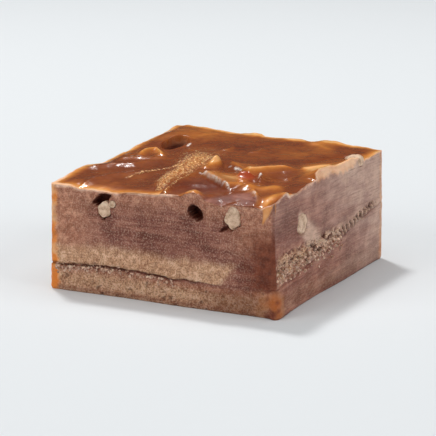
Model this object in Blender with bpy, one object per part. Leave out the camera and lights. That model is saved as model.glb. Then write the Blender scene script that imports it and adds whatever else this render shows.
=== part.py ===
"""A hand-cut piece of layered nut fudge, as sold by the quarter pound.

Two pours with a pale, sugary band between them were cut with a knife, so the four
sides are flat and upright, and the poured top keeps the folds that the spatula left.
Chopped walnuts sit in the fudge, and the knife went through those near a side.

X runs along the front face, Y goes towards the back, Z is up, and the origin is in
the middle of the face that the piece rests on. Everything is in metres.
"""

import math

import bmesh
import bpy
import numpy as np
from mathutils import noise

MM = 0.001

# Driving dimensions.
WIDTH = 58.5 * MM
DEPTH = 62 * MM
LAYER_GAP = 0.3 * MM
POCKET_GAP = 0.5 * MM

# Height of the top at the four corners, before the folds are added.
HEIGHT_FRONT_LEFT = 25.5 * MM
HEIGHT_FRONT_RIGHT = 26.5 * MM
HEIGHT_BACK_RIGHT = 27.9 * MM
HEIGHT_BACK_LEFT = 28.9 * MM

# Where the two pours meet, at the four corners, and how thick the pale band is.
SEAM_FRONT_LEFT = 6.6 * MM
SEAM_FRONT_RIGHT = 6.2 * MM
SEAM_BACK_RIGHT = 14.6 * MM
SEAM_BACK_LEFT = 11.0 * MM
BAND_FRONT = 4.7 * MM
BAND_BACK = 2.6 * MM

# Mesh density: cells along the sides of the top, and rows down the cut faces.
TOP_CELL = 1.4 * MM
SIDE_ROWS = 4
CUTTER_CELLS = 10
OVERHANG = 6 * MM
ABOVE_ALL = 40 * MM

# How far the cut faces lean out at the foot, and their low, wide unevenness.
FOOT_FLARE = 0.5 * MM
FACE_WAVE = 0.15 * MM
FACE_WAVE_LENGTH = 5 * MM

# The foot of the front right corner, which the knife dragged outwards.
DRAGGED_FOOT = 0.9 * MM
DRAGGED_FOOT_HEIGHT = 7 * MM
DRAGGED_FOOT_REACH = 6 * MM

# Folds that the spatula left: a path in millimetres, the crest's height, and how far
# the slope reaches on the path's left and on its right.
FOLDS = [
    ("left sweep", [(-22.5, -33), (-20.5, -26.3), (-17.7, -21.8), (-12.7, -15.9), (-7.9, -4.9)], 0.8, 2.4, 1.4),
    ("left rim", [(-29, -19.5), (-22.8, -13.1), (-15.5, -7.1), (-9.9, -2.4)], 1.0, 2.0, 1.8),
    ("upper sweep", [(-26, -6), (-22.8, -3.7), (-17.7, -2.8), (-13, -1)], 0.5, 1.4, 1.2),
    ("arch", [(-22.2, -2.6), (-22.9, 4.9), (-21.8, 6.5), (-17.1, 1.1), (-14.9, 0.3)], 0.9, 1.2, 1.2),
    ("sugar ridge", [(-0.6, -31.5), (-2.6, -24.5), (-4.5, -13.7), (-6.4, 2)], 0.9, 2.2, 2.2),
    ("sugar lip", [(1.5, -31), (0.5, -25.8), (-0.6, -20), (0, -9.6)], 0.7, 1.5, 1.2),
    ("front tuck", [(1.1, -31.5), (2.2, -24.1), (3.6, -22), (8, -19.5)], 0.4, 1.4, 1.2),
    ("long fold", [(0.5, -12), (4.7, -16.1), (9.8, -19.9), (18.4, -27)], 1.5, 4.0, 1.2),
    ("gully's far lip", [(1.5, 0.8), (4.9, -2.2), (10, -7)], 0.9, 2.5, 1.0),
    ("crescent", [(13.3, -7.5), (15.3, -10), (17.5, -13.5), (19.2, -16.5)], 1.0, 1.2, 1.0),
    ("hump's edge", [(19.5, -25), (22.3, -28.7), (24.4, -31)], 0.7, 1.2, 1.0),
    ("right fold", [(9.5, -7.5), (13.3, -3.7), (20.4, 0.6)], 1.2, 3.2, 1.2),
    ("plate", [(20.4, 0.6), (24, 2.4), (28, 5)], 0.5, 2.5, 1.4),
    ("back ripple", [(-5.2, 11.3), (-4.6, 13.3), (-5.1, 17.2)], 0.3, 1.5, 1.2),
    ("right ripple", [(0.7, 11), (3.4, 12.9), (4.2, 18)], 0.3, 1.5, 1.2),
    ("far ripple", [(2.5, 31), (8.5, 29.5), (13.5, 26.5), (19.5, 22)], 0.4, 2.0, 1.5),
]

# Rounded lumps and hollows of the top, in millimetres: place, radii and height.
LUMPS = [
    ("mound at the back corner", -24.5, 22, 9.0, 9.0, 1.0),
    ("peak", -1.1, -1.0, 2.0, 2.4, 1.8),
    ("red lump", 13.8, -10.9, 1.6, 1.8, 1.0),
    ("front hump", 18.7, -22.5, 2.4, 2.8, 1.2),
    ("rim lump behind the curl", 22.6, -19.2, 2.6, 3.2, 0.9),
    ("front rim lump", 8.5, -30, 2.0, 3.0, 1.6),
    ("right rim lump", 27.5, -3, 5.0, 5.5, 1.4),
    ("right rim knob", 28.5, -24, 2.6, 2.4, 0.8),
    ("back rim rise", -6, 31, 3.0, 4.0, 0.6),
    ("far rim rise", 15.5, 31, 3.5, 4.0, 0.8),
    ("facet hollow", 8, -25, 6.0, 4.5, -0.7),
    ("left flow", -9, -20, 5.0, 9.0, -0.4),
    ("worn front rim", 18, -32, 6.5, 4.5, -1.3),
    ("right valley", 19, -7, 3.5, 3.5, -0.9),
    ("near gully", 21.5, -14.5, 2.2, 2.6, -0.8),
]

# Nuts: centre and half sizes in millimetres, turn about the upright axis in degrees.
NUTS = {
    "nut_left": ((-14.7, -30.0, 20.4), (1.7, 2.4, 2.0), 10),
    "nut_left_chip": ((-12.6, -30.5, 21.9), (0.75, 1.3, 0.85), 30),
    "nut_front": ((18.5, -29.6, 21.9), (2.15, 2.9, 2.6), -8),
    "nut_right": ((27.8, -16.6, 19.1), (2.6, 2.6, 2.5), 15),
    "nut_rim": ((27.3, 17.6, 27.2), (2.4, 2.3, 1.5), 20),
    "nut_back": ((6.5, 29.6, 20.0), (2.4, 2.6, 2.1), 25),
    "nut_side": ((-27.8, 6.0, 18.0), (2.5, 2.2, 2.4), -20),
}

# Holes: centre and half sizes in millimetres, and the lean about Y in degrees.
HOLES = {
    "bubble_pit": ((-21.8, 14.2, 28.6), (2.5, 3.4, 3.0), 20),
    "front_hole": ((9.2, -31.2, 22.1), (1.65, 2.6, 1.2), 25),
    "nut_cavity": ((-14.9, -31.4, 22.8), (1.9, 1.9, 1.0), -28),
}

UPPER_BROWN = (0.21, 0.088, 0.060)
PALE_TAN = (0.41, 0.24, 0.15)
BASE_BROWN = (0.27, 0.135, 0.085)
NUT_CREAM = (0.50, 0.35, 0.23)


def smooth(t):
    """Eases from 0 to 1 as t does."""
    t = np.clip(t, 0, 1)
    return t * t * (3 - 2 * t)


def across(x, y, front_left, front_right, back_right, back_left):
    """A value given at the four corners, blended over the plan."""
    u = np.clip(x / WIDTH + 0.5, 0, 1)
    v = np.clip(y / DEPTH + 0.5, 0, 1)
    front = front_left * (1 - u) + front_right * u
    back = back_left * (1 - u) + back_right * u
    return front * (1 - v) + back * v


def fold_height(x, y, path, crest, left, right):
    """Height of one fold over points of the top. The crest is sharp and fades at both ends."""
    points = np.array(path) * MM
    nearest = np.full(x.shape, np.inf)
    side = np.zeros(x.shape)
    along = np.zeros(x.shape)
    for i in range(len(points) - 1):
        start, step = points[i], points[i + 1] - points[i]
        t = np.clip(((x - start[0]) * step[0] + (y - start[1]) * step[1]) / (step @ step), 0, 1)
        dx = x - start[0] - t * step[0]
        dy = y - start[1] - t * step[1]
        distance = np.hypot(dx, dy)
        closer = distance < nearest
        nearest = np.where(closer, distance, nearest)
        side = np.where(closer, step[0] * dy - step[1] * dx, side)
        along = np.where(closer, (i + t) / (len(points) - 1), along)
    reach = np.where(side > 0, left, right) * MM
    fade = smooth(along / 0.2) * smooth((1 - along) / 0.25) * 0.85 + 0.15
    return crest * MM * np.exp(-nearest / reach) * fade


def lump_height(x, y, centre_x, centre_y, radius_x, radius_y, rise):
    """Height of one rounded lump, or depth of one hollow."""
    r2 = ((x / MM - centre_x) / radius_x) ** 2 + ((y / MM - centre_y) / radius_y) ** 2
    return rise * MM * np.exp(-r2)


def top_height(x, y):
    """Height of the poured top over the plan."""
    z = across(x, y, HEIGHT_FRONT_LEFT, HEIGHT_FRONT_RIGHT, HEIGHT_BACK_RIGHT, HEIGHT_BACK_LEFT)
    for _, path, crest, left, right in FOLDS:
        z = z + fold_height(x, y, path, crest, left, right)
    for _, centre_x, centre_y, radius_x, radius_y, rise in LUMPS:
        z = z + lump_height(x, y, centre_x, centre_y, radius_x, radius_y, rise)
    return z


def seam_height(x, y):
    """Height at which the second pour lies on the first."""
    z = across(x, y, SEAM_FRONT_LEFT, SEAM_FRONT_RIGHT, SEAM_BACK_RIGHT, SEAM_BACK_LEFT)
    return z + 0.35 * MM * np.sin(x / (7 * MM)) * np.cos(y / (9 * MM))


def band_top_height(x, y):
    """Height at which the pale band ends and the brown fudge begins."""
    v = smooth(y / DEPTH + 0.5)
    return seam_height(x, y) + BAND_FRONT * (1 - v) + BAND_BACK * v


def face_wave(along, up):
    """Low unevenness of a knife-cut face, from the place along it and the height."""
    return FACE_WAVE * np.sin(along / FACE_WAVE_LENGTH) * np.cos(up / FACE_WAVE_LENGTH)


def shape_block(points, flat_top=None):
    """Turns points of a unit block, with its top at 0 and its foot at -1, into the cut piece.

    With flat_top given, the top is level at that height and only the sides are the piece's.
    """
    x = points[:, 0] * WIDTH
    y = points[:, 1] * DEPTH
    top = top_height(x, y) if flat_top is None else flat_top
    z = top * (1 + points[:, 2])
    lean = FOOT_FLARE * (0.5 - z / HEIGHT_FRONT_LEFT)
    on_x_side = np.abs(points[:, 0]) > 0.499
    on_y_side = np.abs(points[:, 1]) > 0.499
    low = smooth((DRAGGED_FOOT_HEIGHT - z) / (DRAGGED_FOOT_HEIGHT / 2))
    near_corner = np.exp(-(((y + DEPTH / 2) / DRAGGED_FOOT_REACH) ** 2)) * (x > 0)
    out_x = np.where(on_x_side, lean + face_wave(y, z) + DRAGGED_FOOT * low * near_corner, 0)
    out_y = np.where(on_y_side, lean + face_wave(x, z), 0)
    return np.column_stack((x + np.sign(x) * out_x, y + np.sign(y) * out_y, z))


def block_mesh(name, flat_top=None):
    """The whole piece as one closed block: a fine top, sides drawn down from it in rows, a flat foot."""
    bm = bmesh.new()
    columns = round(WIDTH / TOP_CELL)
    rows = round(DEPTH / TOP_CELL)
    bmesh.ops.create_grid(bm, x_segments=columns, y_segments=rows, size=0.5)
    edges = [edge for edge in bm.edges if edge.is_boundary]
    for _ in range(SIDE_ROWS):
        drawn = bmesh.ops.extrude_edge_only(bm, edges=edges)["geom"]
        edges = [item for item in drawn if isinstance(item, bmesh.types.BMEdge)]
        verts = [item for item in drawn if isinstance(item, bmesh.types.BMVert)]
        bmesh.ops.translate(bm, verts=verts, vec=(0, 0, -1 / SIDE_ROWS))
    bmesh.ops.edgeloop_fill(bm, edges=[edge for edge in bm.edges if edge.is_boundary])
    shaped = shape_block(np.array([vert.co for vert in bm.verts]), flat_top)
    for vert, place in zip(bm.verts, shaped):
        vert.co = place
    bmesh.ops.recalc_face_normals(bm, faces=bm.faces)
    return finish_mesh(bm, name)


def slab_mesh(name, under, over):
    """A slab wider than the piece, between two heights that are functions of x and y."""
    bm = bmesh.new()
    bmesh.ops.create_cube(bm, size=1)
    level_edges = [edge for edge in bm.edges if abs(edge.verts[0].co.z - edge.verts[1].co.z) < 0.5]
    bmesh.ops.subdivide_edges(bm, edges=level_edges, cuts=CUTTER_CELLS - 1, use_grid_fill=True)
    for vert in bm.verts:
        x = vert.co.x * (WIDTH + OVERHANG)
        y = vert.co.y * (DEPTH + OVERHANG)
        height = over if vert.co.z > 0 else under
        vert.co = (x, y, float(height(x, y)))
    bmesh.ops.recalc_face_normals(bm, faces=bm.faces)
    return finish_mesh(bm, name)


def lump_mesh(name, half_sizes, roughness, detail):
    """A rounded lump of that half size each way, in millimetres, uneven by that share."""
    bm = bmesh.new()
    bmesh.ops.create_icosphere(bm, subdivisions=detail, radius=1)
    for vert in bm.verts:
        uneven = 1 + roughness * noise.noise(vert.co * 1.7 + vert.co.normalized() * len(name))
        vert.co = [uneven * c * half * MM for c, half in zip(vert.co, half_sizes)]
    return finish_mesh(bm, name)


def finish_mesh(bm, name):
    """The bmesh as a mesh, shaded smooth but for its sharp rims."""
    mesh = bpy.data.meshes.new(name)
    bm.to_mesh(mesh)
    bm.free()
    mesh.shade_smooth()
    mesh.set_sharp_from_angle(angle=math.radians(40))
    return mesh


def add_object(name, mesh):
    obj = bpy.data.objects.new(name, mesh)
    bpy.context.scene.collection.objects.link(obj)
    return obj


def add_guide(name, mesh):
    """A cutter, which isn't part of the piece."""
    obj = add_object(name, mesh)
    obj.hide_render = True
    obj.display_type = "WIRE"
    return obj


def cut(obj, tool, operation):
    modifier = obj.modifiers.new(f"{operation.lower()} {tool.name}", "BOOLEAN")
    modifier.operation = operation
    modifier.object = tool


def paint(obj, colour, roughness):
    material = bpy.data.materials.new(obj.name)
    material.use_nodes = True
    shader = material.node_tree.nodes["Principled BSDF"]
    shader.inputs["Base Color"].default_value = (*colour, 1)
    shader.inputs["Roughness"].default_value = roughness
    shader.inputs["Metallic"].default_value = 0
    obj.data.materials.append(material)


def place_lump(obj, centre, turn, axis):
    """Puts a lump at its centre, in millimetres, turned by that many degrees about the axis."""
    obj.location = [c * MM for c in centre]
    obj.rotation_euler["XYZ".index(axis)] = math.radians(turn)


def layer(name, whole, under, over, colour):
    """One pour or band: what lies between two heights of the whole block."""
    obj = add_object(name, whole.copy())
    cut(obj, add_guide(f"{name} limits", slab_mesh(f"{name} limits", under, over)), "INTERSECT")
    paint(obj, colour, 0.6)
    return obj


def add_nuts(sides):
    """The walnut pieces, cut flush with the sides, and the pockets that they sit in."""
    pockets = []
    for name, (centre, half_sizes, turn) in NUTS.items():
        nut = add_object(name, lump_mesh(name, half_sizes, 0.22, 2))
        place_lump(nut, centre, turn, "Z")
        cut(nut, sides, "INTERSECT")
        paint(nut, NUT_CREAM, 0.7)
        swollen = [half + POCKET_GAP / MM for half in half_sizes]
        pocket = add_guide(f"pocket of {name}", lump_mesh(name, swollen, 0.22, 2))
        place_lump(pocket, centre, turn, "Z")
        pockets.append(pocket)
    return pockets


def add_holes():
    """Air bubbles that the knife or the surface opened."""
    holes = []
    for name, (centre, half_sizes, lean) in HOLES.items():
        hole = add_guide(name, lump_mesh(name, half_sizes, 0.15, 2))
        place_lump(hole, centre, lean, "Y")
        holes.append(hole)
    return holes


def main():
    for obj in list(bpy.data.objects):
        bpy.data.objects.remove(obj)
    whole = block_mesh("whole piece")
    half_gap = LAYER_GAP / 2
    layers = [
        layer(
            "base_layer",
            whole,
            lambda x, y: -OVERHANG,
            lambda x, y: seam_height(x, y) - half_gap,
            BASE_BROWN,
        ),
        layer(
            "pale_band",
            whole,
            lambda x, y: seam_height(x, y) + half_gap,
            lambda x, y: band_top_height(x, y) - half_gap,
            PALE_TAN,
        ),
        layer(
            "upper_layer",
            whole,
            lambda x, y: band_top_height(x, y) + half_gap,
            lambda x, y: ABOVE_ALL,
            UPPER_BROWN,
        ),
    ]
    sides = add_guide("sides", block_mesh("sides", flat_top=ABOVE_ALL))
    hollows = add_nuts(sides) + add_holes()
    for hollow in hollows:
        cut(layers[2], hollow, "DIFFERENCE")


main()
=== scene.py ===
"""The looks of a hand-cut piece of layered nut fudge.

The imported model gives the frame. The fudge above and below the seam, the walnuts and
the crumbs are made here again at their true fineness: the folds that a spatula left in
the glossy top, the knife's drag on the cut faces, the crumbling seam and the bubbles.

X runs along the front face, Y goes towards the back, Z is up. Sizes are in millimetres
up to the last step of each shape, which turns them into metres. The lamps and the camera
are placed in metres.
"""

import itertools
import math
from types import SimpleNamespace

import bmesh
import bpy
import numpy as np
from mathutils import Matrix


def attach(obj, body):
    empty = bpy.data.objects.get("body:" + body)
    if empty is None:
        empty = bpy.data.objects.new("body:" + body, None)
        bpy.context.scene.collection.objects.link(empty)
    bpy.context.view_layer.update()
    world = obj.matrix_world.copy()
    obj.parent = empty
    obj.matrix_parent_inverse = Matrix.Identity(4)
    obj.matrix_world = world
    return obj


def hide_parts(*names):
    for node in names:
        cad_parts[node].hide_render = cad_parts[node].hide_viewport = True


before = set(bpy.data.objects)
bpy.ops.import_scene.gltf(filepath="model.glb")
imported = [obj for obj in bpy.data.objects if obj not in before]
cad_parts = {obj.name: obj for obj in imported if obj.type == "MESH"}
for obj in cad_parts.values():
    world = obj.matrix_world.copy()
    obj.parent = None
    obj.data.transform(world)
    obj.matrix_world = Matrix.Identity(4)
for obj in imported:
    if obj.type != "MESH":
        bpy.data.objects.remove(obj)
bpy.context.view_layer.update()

MM = 0.001

# Driving dimensions of the cut piece, as in its model.
WIDTH = 58.5
DEPTH = 62
HALF_WIDTH = WIDTH / 2
HALF_DEPTH = DEPTH / 2
HEIGHTS = (25.5, 26.5, 27.9, 28.9)
SEAM_HEIGHTS = (6.6, 6.2, 14.6, 11.0)
BAND_FRONT = 4.7
BAND_BACK = 2.6
FOOT_FLARE = 0.5
FACE_WAVE = 0.15
FACE_WAVE_LENGTH = 5
DRAGGED_FOOT = 0.9
DRAGGED_FOOT_HEIGHT = 7
DRAGGED_FOOT_REACH = 6

# The finer shape that is added here.
WORN_EDGE = 0.8
WORN_EDGE_REACH = 5
WORN_RIM = 0.8
CORNER_RADIUS = 0.6
SEAM_GAP = 0.005
TUCK = 1.6
RIM_REACH = 2.6
FOOT_ROUNDING = 0.35

# Fineness of the fudge: the top's cells and the rows of the sides.
CELL = 0.29
UPPER_ROWS = 56
BASE_ROWS = 30

# How steeply the relief of the sides dies away inwards, and how far out from the middle,
# as a share of the whole, the base's hidden top is one plain face.
SIDE_STEEPNESS = 24
PLAIN_SHARE = 0.47

# Folds that the spatula left: a path, the crest's height, how far the slope reaches on
# the path's left and right, and how amber the crest is.
FOLDS = [
    (
        "left sweep",
        [(-22.5, -33), (-21.4, -30), (-20.5, -26.3), (-17.7, -21.8), (-12.7, -15.9), (-7.9, -4.9)],
        0.7, 2.2, 1.1, 0.1,
    ),
    (
        "left rim",
        [(-29, -19.5), (-22.8, -13.1), (-18.7, -10.5), (-15.5, -7.1), (-9.9, -2.4)],
        0.9, 1.8, 1.5, 0.15,
    ),
    ("upper sweep", [(-26, -6), (-22.8, -3.7), (-17.7, -2.8), (-13, -1)], 0.5, 1.2, 1.0, 0.25),
    (
        "arch",
        [(-22.2, -2.6), (-22.9, 1.5), (-22.9, 4.9), (-21.8, 6.5), (-19.6, 4.6), (-17.1, 1.1), (-14.9, 0.3)],
        0.9, 1.0, 1.0, 0.9,
    ),
    (
        "sugar ridge",
        [(-1.7, -27.6), (-3.7, -22.5), (-4.8, -16.6), (-5.0, -9.9), (-6.2, -2.2), (-8.6, 6.6)],
        0.7, 2.2, 2.2, 0.6,
    ),
    ("sugar lip", [(1.5, -31), (0.5, -25.8), (-0.6, -20), (-0.5, -15.2), (0, -9.6)], 0.6, 1.5, 0.7, 0.15),
    ("front tuck", [(1.1, -31.5), (1.2, -27), (2.2, -24.1), (3.6, -22), (8, -19.5)], 0.4, 1.2, 0.7, 0.25),
    (
        "long fold",
        [(0.5, -12), (4.7, -16.1), (6.9, -17.9), (9.8, -19.9), (12.4, -22.1), (14.5, -24)],
        1.8, 4.5, 0.5, 1.0,
    ),
    ("peak's spine", [(-0.7, -8), (-1.1, -1)], 0.6, 1.3, 1.3, 0.6),
    # The gully's negative tint darkens its colour, a painted shade in the hollow.
    ("gully", [(-1, 2), (1.5, -2), (3.5, -4), (7, -6.5)], -0.9, 0.9, 0.9, -0.8),
    ("gully's far lip", [(1.5, 0.8), (2.7, -0.7), (4.9, -2.2), (8.3, -5.2), (10, -7)], 0.8, 2.5, 0.6, 0.5),
    ("red lump's collar", [(11.3, -13), (10.7, -11), (11, -9.6), (12.6, -9.8)], 0.6, 0.7, 0.7, 0.4),
    ("crescent", [(13.8, -7.8), (15.4, -9.8), (16.6, -12.6), (17.4, -15)], 1.1, 0.8, 0.6, 0.2),
    ("hump's edge", [(19.5, -23), (22, -25.8), (24.4, -30)], 0.8, 0.5, 1.0, 0.7),
    ("right fold", [(9.5, -7.5), (11.9, -6), (13.3, -3.7), (16.1, -1.3), (20.4, 0.6)], 1.3, 3.2, 0.8, 0.9),
    ("plate", [(20.4, 0.6), (24, 2.4), (28, 5)], 0.5, 2.5, 1.0, 0.6),
    # The dark crease's negative tint darkens its colour, a painted shade in the crease.
    ("dark crease", [(17.6, 8), (19.5, 12.5), (22.9, 18.4), (24.2, 21)], -0.5, 0.8, 0.8, -0.5),
    ("back ripple", [(-5.2, 11.3), (-4.6, 13.3), (-5.1, 17.2)], 0.3, 1.5, 0.7, 0.2),
    ("right ripple", [(0.7, 11), (3.4, 12.9), (4.2, 18)], 0.3, 1.5, 0.7, 0.2),
    ("far ripple", [(2.5, 31), (8.5, 29.5), (13.5, 26.5), (19.5, 22)], 0.4, 2.0, 1.5, 0.4),
]

# Middle of the wide ridge that sugar shows on.
SUGAR_RIDGE = [
    (-1.7, -27.6), (-3.7, -22.5), (-4.8, -16.6), (-5.0, -9.9), (-6.2, -2.2), (-8.6, 6.6), (-8, 9),
]

# Thin lines of sugar, on the crests of the left sweep and the sugar lip.
SUGAR_LINES = [
    [(-14.5, -20.5), (-12.7, -15.9), (-9.8, -10.5), (-7.9, -4.9)],
    [(1.2, -31), (0.3, -25.8), (-0.8, -20), (-0.7, -15.2)],
]

# Crests painted with a white highlight: half width and path.
GLINT_CRESTS = [
    ("long fold", 0.22, [(0.5, -12), (4.7, -16.1), (6.9, -17.9), (9.8, -19.9), (12.4, -22.1), (14, -23.5)]),
    ("left rim", 0.22, [(-21.8, -25.8), (-20.4, -22.5), (-18.8, -19.6)]),
    ("upper sweep", 0.22, [(-24.5, -2.2), (-21.8, -1.6), (-18.8, -1.4)]),
    ("gully's far lip", 0.18, [(3, -1.8), (4.9, -3), (8.3, -6)]),
    ("crescent", 0.22, [(14.8, -9), (15.6, -11), (16.4, -13.2)]),
    ("hump's edge", 0.2, [(19.8, -23.7), (21.6, -25.8), (23, -28.5), (23.4, -30.5)]),
    ("pit's lip", 0.25, [(-16, 12.5), (-16.2, 14.5)]),
]

# Middle of the red lump among the folds.
RED_LUMP = (12.2, -11.4)

# Rounded lumps and hollows of the top: place, radii, height and how amber they are.
LUMPS = [
    ("mound at the back corner", -23.5, 21.5, 8.5, 7.5, 1.3, 0.3),
    ("dip before the bubble pit", -19.5, 6.5, 4.5, 4.0, -0.5, -0.1),
    ("peak", -1.1, -1.0, 1.5, 2.0, 2.1, 1.5),
    ("red lump", *RED_LUMP, 1.5, 1.6, 1.3, 0.0),
    ("front hump", 17.6, -21.5, 2.4, 2.2, 1.3, 0.4),
    ("rim lump behind the curl", 22.6, -19.2, 2.6, 3.2, 0.9, 0.8),
    ("front rim lump", 7.5, -29.5, 2.6, 3.0, 1.4, 1.3),
    ("right rim lump", 27.5, -3, 5.0, 5.5, 1.4, 0.8),
    ("right rim knob", 28.5, -24, 2.6, 2.4, 0.8, 0.9),
    ("head of the drip", 26, -28, 1.5, 3.0, 0.2, 0.8),
    ("orange plate", 25.5, 4, 4.0, 6.0, 0.3, 1.1),
    ("back rim rise", -6, 31, 3.0, 4.0, 0.6, 0.6),
    ("far rim rise", 15.5, 31, 3.5, 4.0, 0.8, 0.6),
    ("amber flow at the back left", -17.5, 24.7, 7.0, 6.0, 0.0, 0.3),
    # The facet's negative tint darkens its colour, a painted shade.
    ("shaded_facet", 8, -25, 6.0, 4.5, -0.7, -0.7),
    ("left flow", -9, -20, 6.0, 10.0, -0.4, -0.4),
    ("flow at the back right", 14, 17, 9.0, 9.0, 0.0, 0.2),
    ("right valley", 19, -7, 3.5, 3.5, -0.9, -0.4),
    ("near gully", 21.5, -14.5, 2.2, 2.6, -0.6, -0.2),
    ("orange slope", 10.5, -14, 3.0, 3.0, 0.0, 0.6),
    # The recess's negative tint darkens its colour, a painted shade beside the red lump.
    ("red lump's recess", 15.5, -14, 1.3, 1.5, -0.7, -0.8),
]

# The bubble pit in the top: place, radii and depth.
BUBBLE_PIT = (-20, 13.4)
PIT_RADII = (3.0, 5.0)
PIT_DEPTH = 4.0

# Facet under the long fold, painted darker, redder and less glossy as shade: place and radii.
SHADED_FACET = (6.5, -22.5, 5.5, 6.5)

# Strip at the front rim that the poured skin left bare.
BARE_STRIP = [(13, -31), (16.5, -28), (19.5, -26.8), (22, -29)]
BARE_WIDTH = 2.0

# Where along the front rim the cut face runs into the top without a burr, and where along
# the right rim the fudge was dragged into a broad peach burr.
MERGING_RIM = (3, 26)
PEACH_RIM = (-9, 17)
PEACH_RIM_WIDTH = 1.8

# Middle of the pale smear that a nut left down the right face: along it and up.
NUT_SMEAR = [(-17.6, 20.7), (-15.2, 17.9), (-9.6, 12.5)]

# The combed stretch of the torn band on the right face, and its slots' spacing.
COMB = (1, 27)
COMB_PITCH = 1.9

# The front corner's stains: the amber drip, the amber foot and the dark red between them.
# Heights, and how far from the corner they lie or reach.
DRIP_MIDDLE = 2.3
DRIP_LEAN = 0.25
DRIP_TOP = 24
DRIP_END = 20.5
AMBER_FOOT_TOP = 7.2
AMBER_FOOT_REACH = 5.5
DARK_RED_TOP = 22
DARK_RED_FOOT = 5
DARK_RED_REACH = 8

# Heights of the four cut rims where they turn.
FRONT_RIM = [
    (-27.5, 25.3), (-24.5, 25.3), (-21, 24.8), (-16.1, 25), (-11.9, 24.6), (-7.9, 25.25),
    (-3.7, 25.4), (5.3, 25.8), (6.8, 26.5), (8.4, 26.9), (10, 26.6), (12.3, 25.2),
    (15.4, 24.7), (18.9, 25.2), (22.9, 25.1), (25.8, 24.6), (27.5, 25.2), (29.2, 26.4),
]
RIGHT_RIM = [
    (-31, 26.2), (-29, 26.9), (-24.7, 27.6), (-22.9, 26.8), (-19.4, 26.5), (-13, 27.4),
    (-8.6, 27.4), (-7.7, 28.7), (-5, 29.2), (1, 29.0), (5, 28.5), (10.5, 28.6),
    (13, 28.9), (15.5, 28.4), (17.4, 26.9), (21, 27.2), (28.7, 27.6), (31, 27.7),
]
BACK_RIM = [
    (-27.5, 29.2), (-25.5, 29.6), (-20.5, 29.3), (-17.1, 28.9), (-10.5, 28.5), (-8.4, 28.8),
    (-6.2, 29.1), (-4.4, 29), (-3, 28.4), (6.3, 28.5), (9.1, 28.2), (14.1, 28.9),
    (16.5, 28.9), (19.9, 28.2), (24.7, 28), (28.5, 27.7),
]
LEFT_RIM = [
    (-31, 25.4), (-26, 25.7), (-22, 26.2), (-19, 26.75), (-15.8, 26.8), (-7, 25.9),
    (-2, 26.4), (3, 26.7), (12, 27.6), (21, 28.1), (31, 29),
]

# Walnuts, as in the model: centre, half sizes and turn about the upright axis in degrees.
NUTS = {
    "nut_left": ((-14.7, -30.0, 20.4), (1.7, 2.4, 2.0), 10),
    "nut_left_chip": ((-12.6, -30.5, 21.9), (0.75, 1.3, 0.85), 30),
    "nut_front": ((18.5, -29.6, 21.9), (2.15, 2.9, 2.6), -8),
    "nut_right": ((27.8, -16.6, 19.1), (2.6, 2.6, 2.5), 15),
    "nut_rim": ((27.3, 17.6, 27.2), (2.4, 2.3, 1.5), 20),
    "nut_back": ((6.5, 29.6, 20.0), (2.4, 2.6, 2.1), 25),
    "nut_side": ((-27.8, 6.0, 18.0), (2.5, 2.2, 2.4), -20),
}

# Hollows in the front face: place along it and height, half sizes, lean in degrees,
# depth and raggedness.
HOLLOWS = [
    ("bubble", 9.2, 22.2, 1.75, 1.2, -35, 3.0, 0.15),
    ("cavity over the left nut", -15.1, 22.8, 2.2, 0.95, 28, 2.2, 0.45),
    ("pin hole", -14.9, 18.3, 0.4, 0.35, 0, 0.7, 0.45),
    ("crack under the front nut", 16.8, 19.5, 1.6, 0.4, 30, 0.6, 0.45),
]

# Crumbs: how many, their least and greatest radius, and how far they are strewn along
# each face.
CRUMB_COUNT = 430
CRUMB_SIZES = (0.12, 0.36)
CRUMBS_IN_FRONT = 32
CRUMBS_AT_RIGHT = 36

# The camera: its place, how far it looks down and turns in degrees, and its lens.
CAMERA_PLACE = (0.19399, -0.37783, 0.11325)
CAMERA_DOWN = 13.2
CAMERA_TURN = 27.3
CAMERA_LENS = 148.6

# Colours of the fudge, the sugar, the crumbs and the walnuts.
MAUVE_STOPS = [(0.3, (0.18, 0.058, 0.04)), (0.5, (0.28, 0.10, 0.07)), (0.72, (0.44, 0.19, 0.13))]
TAN_STOPS = [(0.35, (0.38, 0.145, 0.08)), (0.5, (0.53, 0.225, 0.135)), (0.65, (0.72, 0.37, 0.24))]
# Pale greyish colours that paint the sheen of the right face, and the nut's smear on it.
SHEEN_STOPS = [(0.3, (0.29, 0.155, 0.12)), (0.5, (0.45, 0.27, 0.215)), (0.7, (0.68, 0.46, 0.36))]
BAND_STOPS = [(0.3, (0.46, 0.22, 0.12)), (0.5, (0.67, 0.37, 0.21)), (0.7, (0.92, 0.62, 0.42))]
# Dark reds of the corner stain, also used for the painted shade under the seam.
RED_STOPS = [(0.35, (0.11, 0.021, 0.009)), (0.65, (0.26, 0.062, 0.025))]
# Pale grains of the cut fudge, bright enough to paint the sparkle of light on them too.
SPECK_LIGHT = (0.80, 0.55, 0.40)
SPECK_DARK = (0.12, 0.035, 0.02)
# Amber of the sides; on the upright edges it paints the glow of light shining through them.
AMBER_AND_EDGE_GLOW_STOPS = [(0.35, (0.92, 0.28, 0.05)), (0.5, (0.98, 0.48, 0.20)), (0.65, (1.0, 0.62, 0.38))]
# Painted shade, laid into the hollows, the seam's crack, the band's slots and gaps, the pits, the bubble
# pit and the facet.
PAINTED_SHADE = (0.075, 0.012, 0.005)
LUMP_RED = (0.40, 0.055, 0.018)
PALE_CRUMB = (0.86, 0.62, 0.48)
# A painted highlight, laid along the sharp crests and the pit's lip.
PAINTED_GLINT = (1.0, 0.92, 0.82)
BURR_STOPS = [(0.35, (0.66, 0.36, 0.24)), (0.65, (1.0, 0.70, 0.53))]
PEACH = (1.0, 0.58, 0.33)
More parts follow.
